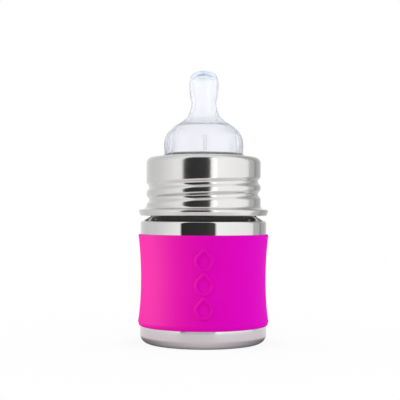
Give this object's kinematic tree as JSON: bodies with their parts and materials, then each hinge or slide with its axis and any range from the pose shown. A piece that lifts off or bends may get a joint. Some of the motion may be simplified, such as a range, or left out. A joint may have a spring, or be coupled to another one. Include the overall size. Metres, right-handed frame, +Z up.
{
  "type": "infant feeding bottle",
  "caption": "Steel feeding bottle with a silicone grip sleeve, a threaded steel collar that unscrews and a wide-neck silicone nipple.",
  "frame": {"origin": "on the axis, at the height of the foot ring that the bottle stands on", "axes": "+Z up along the bottle's axis to the nipple's tip; -Y is the front, where the sleeve has its raised motif; +X is on a viewer's right"},
  "size_m": [0.0642, 0.0642, 0.1341],
  "materials": {
    "vessel_steel": "polished above the sleeve, satin on the lower band",
    "collar_steel": "fine satin",
    "sleeve_silicone": "matt silicone",
    "nipple_silicone": "clear, glossy silicone"
  },
  "bodies": {
    "vessel": {"bottle_shell": "vessel_steel", "bottom_panel": "vessel_steel", "grip_sleeve": "sleeve_silicone"},
    "nipple_seat": {"nipple": "nipple_silicone"},
    "collar": {"screw_collar": "collar_steel"}
  },
  "joints": [
    {"name": "collar_lift", "type": "slide", "parent": "vessel", "child": "nipple_seat", "axis": [0, 0, 1], "range_m": [0, 0.0124]},
    {"name": "collar_turn", "type": "hinge", "parent": "nipple_seat", "child": "collar", "pos_m": [0, 0, 0.0731], "axis": [0, 0, 1], "range_deg": [0, 720]}
  ],
  "couplings": [
    {"joint": "collar_lift", "follows": "collar_turn", "m_per_rad": 0.00098676}
  ]
}
